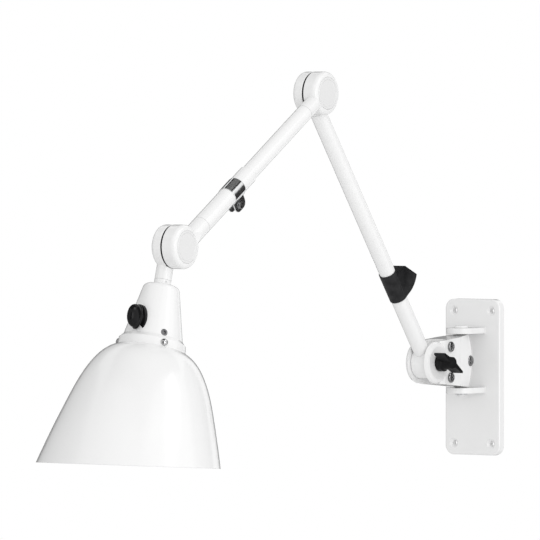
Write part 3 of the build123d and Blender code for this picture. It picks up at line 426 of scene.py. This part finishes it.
nickelLook = {
    "colour": (0.6, 0.57, 0.51), "paler": (0.7, 0.67, 0.61), "roughness": 0.2, "roughSpread": 0.1,
    "grain": 900.0, "blotch": 60.0, "across": 1200.0, "along": 300.0,
    "bump": 0.06, "bumpDepth": 0.0002, "edge": 0.0005,
}
nickel = metalFinish("nickel", nickelLook)

finishBySlot = {
    "white_coat": whiteCoat,
    "zinc_steel": zincSteel,
    "black_plastic": blackPlastic,
    "black_rubber": gasketRubber,
    "brass": brass,
    "pale_plastic": paleWasher,
    "porcelain": porcelain,
    "nickel_steel": nickel,
    "dark_steel": darkSteel,
}
# solids that look unlike the rest of their slot
finishByNode = {
    "clamp_screw": screwSteel,
    "clamp_nut": screwSteel,
    "neck_set_screw": whiteCoat,
    "elbow_front_cap": capCoat,
    "elbow_rear_cap": capCoat,
    "head_front_cap": capCoat,
    "head_rear_cap": capCoat,
}
for entry in frame["record"]["subparts"]:
    node = lampNodes[entry["node"]]
    finish = finishByNode.get(entry["node"], finishBySlot[entry["material_slot"]])
    if not node.data.materials:
        node.data.materials.append(finish)
    for index in range(len(node.data.materials)):
        node.data.materials[index] = finish
print("finishes assigned")


# the frames that the arm's pieces are built on, from the joints' places and axes
lampJoints = {joint["name"]: joint for joint in frame["record"]["behaviour"]["joints"]}
tiltPoint, elbowPoint, headPoint, twistPoint = [
    Vector(lampJoints[name]["pos_m"]) for name in ("lower_tilt", "elbow", "head_tilt", "forearm_twist")
]
upperStart = Vector((twistPoint.x, elbowPoint.y, elbowPoint.z))
headDown = Vector(lampJoints["head_turn"]["axis"])
lowerFrame = armFrame(tiltPoint, (elbowPoint - tiltPoint).normalized())
upperFrame = armFrame(upperStart, Vector(lampJoints["forearm_twist"]["axis"]))
headFrame = armFrame(headPoint, headDown)

# fine gaps where stubs, tubes and the neck meet, drawn as thin grey rings: painted shadow in the gaps
seamLine = {"half": 0.16, "rise": 0.03, "depth": 0.12}
seams = {
    "elbowRearSeam": {"frame": lowerFrame, "along": 313.4, "radius": 8.0, "body": "lower_arm"},
    "elbowFrontSeam": {"frame": upperFrame, "along": 35.6, "radius": 8.0, "body": "upper_arm"},
    "headStubSeam": {"frame": upperFrame, "along": 237.4, "radius": 9.2, "body": "forearm"},
    "neckSeam": {"frame": headFrame, "along": 33.05, "radius": 8.0, "body": "lamp_head"},
}
for seamName, seam in seams.items():
    inner, outer = seam["radius"] - seamLine["depth"], seam["radius"] + seamLine["rise"]
    near, far = seam["along"] - seamLine["half"], seam["along"] + seamLine["half"]
    seamMesh = turnedMesh(seamName, [(inner, near), (outer, near), (outer, far), (inner, far)])
    finishMesh(seamName, seamMesh, paintedSeamShadow, seam["body"], seam["frame"])
print("seams ready")

# the clamp: one thin strip bent round the sleeve, with two ears
clamp = {
    "start": 168.9, "end": 187.5, "bandRadius": 9.5, "bandHalf": 0.28, "earHalf": 0.5, "earOut": 3.8,
    "earTip": 20.0, "earCorner": 6.5, "tipWidth": 0.5, "tipCrowding": 1.6, "rootBend": 1.8,
    "bandSteps": 72, "rootSteps": 8, "earSteps": 26, "edge": 0.12,
}


def clampPath(look):
    # the strip's middle line from one ear's tip round to the other,
    # as (x, y, outward x, outward y, half thickness, half width)
    halfWidth = (look["end"] - look["start"]) / 2
    bendOut = look["earOut"] + look["rootBend"]
    bendReach = look["bandRadius"] + look["rootBend"]
    bendDown = sqrt(bendReach**2 - bendOut**2)
    side = []
    for step in range(look["earSteps"] + 1):
        fromTip = (look["earTip"] - bendDown) * (step / look["earSteps"]) ** look["tipCrowding"]
        width = halfWidth
        if fromTip < look["earCorner"]:
            width += sqrt(look["earCorner"] ** 2 - (look["earCorner"] - fromTip) ** 2) - look["earCorner"]
        width = max(width, look["tipWidth"])
        side.append((-look["earOut"], fromTip - look["earTip"], -1.0, 0.0, look["earHalf"], width))
    bendEnd = acos(bendOut / bendReach)
    for step in range(1, look["rootSteps"] + 1):
        share = step / look["rootSteps"]
        outX, outY = cos(bendEnd * share), sin(bendEnd * share)
        half = look["earHalf"] + (look["bandHalf"] - look["earHalf"]) * share
        x, y = -bendOut + look["rootBend"] * outX, -bendDown + look["rootBend"] * outY
        side.append((x, y, -outX, -outY, half, halfWidth))
    start = bendEnd + pi
    band = []
    for step in range(1, look["bandSteps"]):
        angle = start - (2 * (start - pi / 2)) * step / look["bandSteps"]
        outX, outY = cos(angle), sin(angle)
        x, y = look["bandRadius"] * outX, look["bandRadius"] * outY
        band.append((x, y, outX, outY, look["bandHalf"], halfWidth))
    otherSide = [(-x, y, -outX, outY, half, width) for x, y, outX, outY, half, width in reversed(side)]
    return side + band + otherSide


clampRows = []
clampMiddle = (clamp["start"] + clamp["end"]) / 2
for x, y, outX, outY, half, width in clampPath(clamp):
    clampRows.append([
        (x + outX * half, y + outY * half, clampMiddle - width),
        (x + outX * half, y + outY * half, clampMiddle + width),
        (x - outX * half, y - outY * half, clampMiddle + width),
        (x - outX * half, y - outY * half, clampMiddle - width),
    ])
clampStrip = finishMesh(
    "clampStrip", gridMesh("clampStrip", clampRows, closedColumns=True, capped=True),
    clampSteel, "forearm", upperFrame, clamp["edge"],
)
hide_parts("clamp_band")
print("clamp ready")

# the lamp socket: a rolled screw shell with a seat lip
shell = {
    "seat": 96.4, "foot": 117.9, "middleRadius": 13.9, "threadDepth": 0.5, "pitch": 3.63, "wall": 0.45,
    "lipRadius": 16.1, "lipHeight": 0.8, "fade": 2.2, "rings": 90, "segments": 80,
}


def ringPoints(height, radii):
    angles = [2 * pi * turn / len(radii) for turn in range(len(radii))]
    return [(radius * cos(angle), radius * sin(angle), height) for radius, angle in zip(radii, angles)]


def threadRadii(look, height, outward=0.0):
    # the rolled thread's radius all round one ring; it fades out towards both ends
    inward = min(height - look["seat"], look["foot"] - height) / look["fade"]
    depth = look["threadDepth"] * max(0.0, min(1.0, inward))
    rolled = 2 * pi * (height - look["seat"]) / look["pitch"]
    angles = [2 * pi * turn / look["segments"] for turn in range(look["segments"])]
    return [look["middleRadius"] - depth * cos(rolled - angle) + outward for angle in angles]


shellRows = []
shellLength = shell["foot"] - shell["seat"]
for step in range(shell["rings"] + 1):
    height = shell["seat"] + shellLength * step / shell["rings"]
    shellRows.append(ringPoints(height, threadRadii(shell, height)))
for step in range(shell["rings"] + 1):
    height = shell["foot"] - (shellLength - shell["lipHeight"]) * step / shell["rings"]
    shellRows.append(ringPoints(height, threadRadii(shell, height, shell["wall"])))
for height in (shell["seat"] + shell["lipHeight"], shell["seat"]):
    shellRows.append(ringPoints(height, [shell["lipRadius"]] * shell["segments"]))
screwShell = finishMesh(
    "screwShell", gridMesh("screwShell", shellRows, closedRows=True, closedColumns=True),
    nickel, "lamp_head", headFrame,
)
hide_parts("socket_shell")
print("socket ready")

# coved fillets where the hinge lugs meet the plate
lugRoots = {"cove": 1.2, "sunk": 0.3, "coveSteps": 7, "cornerSteps": 6}


def coveRows(look, lugLow, lugHigh, plateFront):
    # the cove's section, carried round the four corners of a lug's box
    section = []
    for step in range(look["coveSteps"] + 1):
        angle = pi / 2 * step / look["coveSteps"]
        section.append((look["cove"] * (1 - sin(angle)), look["cove"] * (1 - cos(angle))))
    section += [(-look["sunk"], look["cove"]), (-look["sunk"], -look["sunk"]), (look["cove"], -look["sunk"])]
    corners = [(lugHigh.x, lugHigh.z), (lugLow.x, lugHigh.z), (lugLow.x, lugLow.z), (lugHigh.x, lugLow.z)]
    rows = []
    for quarter, (cornerX, cornerZ) in enumerate(corners):
        for step in range(look["cornerSteps"] + 1):
            angle = pi / 2 * (quarter + step / look["cornerSteps"])
            rows.append([
                (cornerX + out * cos(angle), plateFront - rise, cornerZ + out * sin(angle))
                for out, rise in section
            ])
    return rows


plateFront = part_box("wall_plate")[0].y * 1000
for coveName, lugNode in (("upperLugCove", "upper_lug"), ("lowerLugCove", "lower_lug")):
    lugLow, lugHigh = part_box(lugNode)
    lugRows = coveRows(lugRoots, lugLow * 1000, lugHigh * 1000, plateFront)
    coveMesh = gridMesh(coveName, lugRows, closedRows=True, closedColumns=True)
    finishMesh(coveName, coveMesh, whiteCoat, "wall_mount")
print("lug roots ready")


# pan-head screws with a cross recess and a threaded shank
panScrew = {
    "recessReach": 0.66, "recessFade": 2.4, "slotHalf": 0.55, "slotWall": 0.16, "recessDepth": 1.15,
    "crown": 0.5, "crownPower": 4, "sunk": 0.05, "cells": 48, "setSeat": 10.2, "setTurn": 8,
    "lowerTurn": 3, "upperTurn": -5, "shankRadius": 2.45, "threadDepth": 0.28, "threadStep": 0.8,
    "shankSegments": 32,
}


def panHeadMesh(name, radius, height, look):
    # a square of cells pressed into a disc, raised to the crown and cut by the cross, with a skirt below
    cells = look["cells"]
    points, faces = [], []
    for row in range(cells + 1):
        for column in range(cells + 1):
            u, v = 2 * row / cells - 1, 2 * column / cells - 1
            x, y = radius * u * sqrt(1 - v * v / 2), radius * v * sqrt(1 - u * u / 2)
            reach = sqrt(x * x + y * y) / radius
            rise = height * (1 - look["crown"] * min(reach, 1.0) ** look["crownPower"])
            wall = (look["slotHalf"] + look["slotWall"] - min(abs(x), abs(y))) / look["slotWall"]
            fade = (look["recessReach"] - reach) / look["recessReach"] * look["recessFade"]
            rise -= look["recessDepth"] * max(0.0, min(1.0, wall)) * max(0.0, min(1.0, fade))
            points.append((x, y, rise))
    for row in range(cells):
        for column in range(cells):
            here = row * (cells + 1) + column
            faces.append((here, here + 1, here + cells + 2, here + cells + 1))
    border = list(range(cells))
    border += [row * (cells + 1) + cells for row in range(cells)]
    border += [cells * (cells + 1) + column for column in range(cells, 0, -1)]
    border += [row * (cells + 1) for row in range(cells, 0, -1)]
    foot = len(points)
    points += [(points[index][0], points[index][1], -look["sunk"]) for index in border]
    for step in range(len(border)):
        following = (step + 1) % len(border)
        faces.append((border[step], border[following], foot + following, foot + step))
    faces.append(tuple(range(foot, foot + len(border))))
    return meshFrom(name, points, faces)


def threadedMesh(name, length, look):
    profile = [(nearAxis, 0.0), (look["shankRadius"], 0.0)]
    turns = int(length / look["threadStep"])
    for turn in range(turns):
        profile.append((look["shankRadius"] - look["threadDepth"], -(turn + 0.5) * look["threadStep"]))
        profile.append((look["shankRadius"], -(turn + 1) * look["threadStep"]))
    profile.append((nearAxis, -turns * look["threadStep"]))
    return turnedMesh(name, profile, look["shankSegments"])


def screwPlace(x, y, z, turnAngle):
    sideTurn = Matrix.Rotation(radians(90), 4, "Y")
    return Matrix.Translation((x, y, z)) @ sideTurn @ Matrix.Rotation(radians(turnAngle), 4, "Z")


# heads and shanks are sized from the boxes of the solids that they stand for
setLow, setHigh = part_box("swivel_set_screw")
cheekLow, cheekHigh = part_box("cheek_screws")
headRadius = (setHigh.y - setLow.y) / 2
headHeight = setHigh.x - panScrew["setSeat"] / 1000
panHead = panHeadMesh("panHead", headRadius * 1000, headHeight * 1000, panScrew)
setShank = threadedMesh("setShank", (setHigh.x - headHeight - setLow.x) * 1000, panScrew)
cheekShank = threadedMesh("cheekShank", (cheekHigh.x - headHeight - cheekLow.x) * 1000, panScrew)

setMiddle = (setLow + setHigh) / 2
setPlace = screwPlace(setHigh.x - headHeight, setMiddle.y, setMiddle.z, panScrew["setTurn"])
setScrewPiece = finishMesh(
    "crossSetScrew", joinMeshes("crossSetScrew", [(panHead, setPlace), (setShank, setPlace)]),
    screwSteel, "swivel",
)
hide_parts("swivel_set_screw")

cheekParts = []
cheekY = (cheekLow.y + cheekHigh.y) / 2
cheekSeats = [
    (cheekLow.z + headRadius, panScrew["lowerTurn"]),
    (cheekHigh.z - headRadius, panScrew["upperTurn"]),
]
for cheekZ, turnAngle in cheekSeats:
    cheekPlace = screwPlace(cheekHigh.x - headHeight, cheekY, cheekZ, turnAngle)
    cheekParts += [(panHead, cheekPlace), (cheekShank, cheekPlace)]
cheekScrewPiece = finishMesh(
    "crossCheekScrews", joinMeshes("crossCheekScrews", cheekParts), screwSteel, "swivel",
)
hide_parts("cheek_screws")
for spare in (panHead, setShank, cheekShank):
    bpy.data.meshes.remove(spare)
print("knuckle screws ready")

# smooth dome screws that hold the shade
domeScrew = {
    "height": 97.6, "bandRadius": 32.7, "radius": 3.5, "rise": 1.9, "shankRadius": 1.5, "shankLength": 5.0,
    "count": 3, "firstTurn": 56.5, "rimSteps": 14, "sunk": 0.04, "segments": 48,
}
domeProfile = [(nearAxis, -domeScrew["shankLength"]), (domeScrew["shankRadius"], -domeScrew["shankLength"])]
domeProfile += [(domeScrew["shankRadius"], -domeScrew["sunk"]), (domeScrew["radius"], -domeScrew["sunk"])]
for step in range(domeScrew["rimSteps"] + 1):
    angle = pi / 2 * step / domeScrew["rimSteps"]
    domeProfile.append((max(domeScrew["radius"] * cos(angle), nearAxis), domeScrew["rise"] * sin(angle)))
domeMesh = turnedMesh("domeScrew", domeProfile, domeScrew["segments"])
headSide = headFrame.to_3x3() @ Vector((0, 1, 0))
domeCentre = headPoint + headDown * domeScrew["height"] / 1000
domeParts = []
for number in range(domeScrew["count"]):
    turnAngle = radians(domeScrew["firstTurn"] + number * 360 / domeScrew["count"])
    outward = headSide * cos(turnAngle) + Vector((1, 0, 0)) * sin(turnAngle)
    domePlace = outward.to_track_quat("Z", "Y").to_matrix().to_4x4()
    domePlace.translation = domeCentre + outward * domeScrew["bandRadius"] / 1000
    domeParts.append((domeMesh, domePlace))
domeScrews = finishMesh(
    "domeScrews", joinMeshes("domeScrews", domeParts), domeSteel, "lamp_head",
)
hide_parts("shade_screws")
bpy.data.meshes.remove(domeMesh)
print("shade screws ready")

# the switch's grip: a narrow dome with a rim behind it
grip = {
    "height": 76.6, "foot": 30.1, "rimBand": 0.3, "rimEnd": 31.4, "rimStep": 0.25, "front": 44.3,
    "halfHeight": 12.1, "halfWidth": 6.1, "neckIn": 0.45, "fullness": 2.5, "taper": 0.85,
    "backSize": 0.02, "tipSize": 0.012, "rings": 22, "segments": 72, "edge": 0.2,
}


def gripRows(look):
    # ovals from the back to the front, as (share of the full size, distance out)
    neck = 1.0 - look["neckIn"] / look["halfWidth"]
    start = look["rimEnd"] + look["rimStep"]
    ovals = [(look["backSize"], look["foot"]), (1.0, look["foot"]), (1.0, look["foot"] + look["rimBand"])]
    ovals += [(1.0, look["rimEnd"]), (neck, start)]
    for step in range(1, look["rings"] + 1):
        share = step / look["rings"]
        size = sqrt(1 - share ** look["fullness"]) * neck
        ovals.append((max(size, look["tipSize"]), start + (look["front"] - start) * share))
    rows = []
    for size, out in ovals:
        halfWidth, halfHeight = look["halfWidth"] * size, look["halfHeight"] * size ** look["taper"]
        angles = [2 * pi * turn / look["segments"] for turn in range(look["segments"])]
        rows.append([(halfWidth * cos(angle), halfHeight * sin(angle), out) for angle in angles])
    return rows


# the grip's axes: across, down the head, outward
switchOut = Vector(lampJoints["switch_turn"]["axis"])
gripFrame = Matrix((headDown.cross(switchOut), headDown, switchOut)).transposed().to_4x4()
gripFrame.translation = headPoint + headDown * grip["height"] / 1000
switchGrip = finishMesh(
    "switchGrip", gridMesh("switchGrip", gripRows(grip), closedColumns=True, capped=True),
    switchPlastic, "rotary_switch", gripFrame, grip["edge"],
)
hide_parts("switch_knob")
print("switch ready")


# studio: places and sizes in metres, angles in degrees, the lens and its sensor in mm
studio = {
    "middle": (0, -0.3, 0.05),
    "floorHeight": -0.62,
    "floorSize": 3.2,
    "floorColour": (0.8, 0.8, 0.8),
    "paperRoughness": 0.9,
    "ambient": 0.87,
    "lights": {
        "mainSoftbox": {"azimuth": 52.0, "height": 8.0, "distance": 2.5, "size": 1.5, "power": 9.0},
        "sideSoftbox": {"azimuth": 72.0, "height": 6.0, "distance": 2.5, "size": 1.3, "power": 5.4},
        "stripeSoftbox": {"azimuth": 100.0, "height": 42.0, "distance": 2.5, "size": 0.76, "power": 5.6},
    },
    # seen in reflections alone: (azimuth, height, distance, width, tallness, tone)
    "cards": {
        "rearCard": (148.0, 9.5, 1.5, 1.2, 1.7, 0.05),
        "overheadCard": (90.0, 89.0, 1.5, 1.4, 1.4, 0.19),
        "overheadRim": (90.0, 89.0, 1.55, 2.3, 2.3, 0.015),
        "viewerCard": (34.0, 0.0, 2.2, 1.5, 2.4, 0.05),
        "leftCard": (-60.0, 10.0, 1.9, 1.6, 2.2, 0.08),
        "farLeftCard": (-125.0, 10.0, 1.9, 3.0, 2.2, 0.12),
    },
    "viewPoint": (-0.1695, -0.1188, 0.1069),
    "viewAzimuth": 35.0,
    "viewHeight": 1.4,
    "viewDistance": 8.0,
    "viewEnd": 60.0,
    "lensLength": 533.0,
    "sensorWidth": 36.0,
}


def directionFrom(azimuth, height):
    level = cos(radians(height))
    return Vector((sin(radians(azimuth)) * level, -cos(radians(azimuth)) * level, sin(radians(height))))


def flatMesh(name, width, depth):
    mesh = bpy.data.meshes.new(name)
    x, y = width / 2, depth / 2
    mesh.from_pydata([(-x, -y, 0), (x, -y, 0), (x, y, 0), (-x, y, 0)], [], [(0, 1, 2, 3)])
    return mesh


cameraData = bpy.data.cameras.new("photoCamera")
cameraData.lens = studio["lensLength"]
cameraData.sensor_width = studio["sensorWidth"]
cameraData.clip_end = studio["viewEnd"]
photoCamera = addObject("photoCamera", cameraData)
sight = directionFrom(studio["viewAzimuth"], studio["viewHeight"])
photoCamera.location = Vector(studio["viewPoint"]) + sight * studio["viewDistance"]
photoCamera.rotation_euler = (-sight).to_track_quat("-Z", "Y").to_euler()
bpy.context.scene.camera = photoCamera

lampMiddle = Vector(studio["middle"])
for lightName, lamp in studio["lights"].items():
    lightData = bpy.data.lights.new(lightName, "AREA")
    lightData.energy = lamp["power"]
    lightData.size = lamp["size"]
    softbox = addObject(lightName, lightData)
    lightDirection = directionFrom(lamp["azimuth"], lamp["height"])
    softbox.location = lampMiddle + lightDirection * lamp["distance"]
    softbox.rotation_euler = (-lightDirection).to_track_quat("-Z", "Y").to_euler()

for cardName, (azimuth, height, distance, width, tallness, tone) in studio["cards"].items():
    cardFinish, _, cardShader = newFinish(cardName + "Paper", (tone,) * 3, studio["paperRoughness"])
    cardShader.inputs["Specular IOR Level"].default_value = 0.0
    card = addObject(cardName, flatMesh(cardName, width, tallness))
    card.data.materials.append(cardFinish)
    cardDirection = directionFrom(azimuth, height)
    card.location = lampMiddle + cardDirection * distance
    card.rotation_euler = (-cardDirection).to_track_quat("Z", "Y").to_euler()
    card.visible_camera = False
    card.visible_diffuse = False
    card.visible_shadow = False
    card.visible_transmission = False

studioFloor = addObject("studioFloor", flatMesh("studioFloor", studio["floorSize"], studio["floorSize"]))
studioFloor.location = (lampMiddle.x, lampMiddle.y, studio["floorHeight"])
studioFloor.data.materials.append(newFinish("floorPaper", studio["floorColour"], studio["paperRoughness"])[0])

# the world is white to the camera and in reflections, and a little dimmer as a light
world = bpy.data.worlds.new("studioWorld")
bpy.context.scene.world = world
world.use_nodes = True
worldTree = world.node_tree
background = worldTree.nodes["Background"]
background.inputs["Color"].default_value = (1, 1, 1, 1)
lightPath = addNode(worldTree, "ShaderNodeLightPath", (-800, 0))
seen = addNode(worldTree, "ShaderNodeMath", (-600, 0), operation="MAXIMUM")
seenAll = addNode(worldTree, "ShaderNodeMath", (-400, 0), operation="MAXIMUM")
level = addNode(worldTree, "ShaderNodeMapRange", (-200, 0))
level.inputs["To Min"].default_value = studio["ambient"]
level.inputs["To Max"].default_value = 1.0
wire(worldTree, lightPath.outputs["Is Camera Ray"], seen.inputs[0])
wire(worldTree, lightPath.outputs["Is Glossy Ray"], seen.inputs[1])
wire(worldTree, seen.outputs["Value"], seenAll.inputs[0])
wire(worldTree, lightPath.outputs["Is Transmission Ray"], seenAll.inputs[1])
wire(worldTree, seenAll.outputs["Value"], level.inputs["Value"])
wire(worldTree, level.outputs["Result"], background.inputs["Strength"])
print("studio ready")
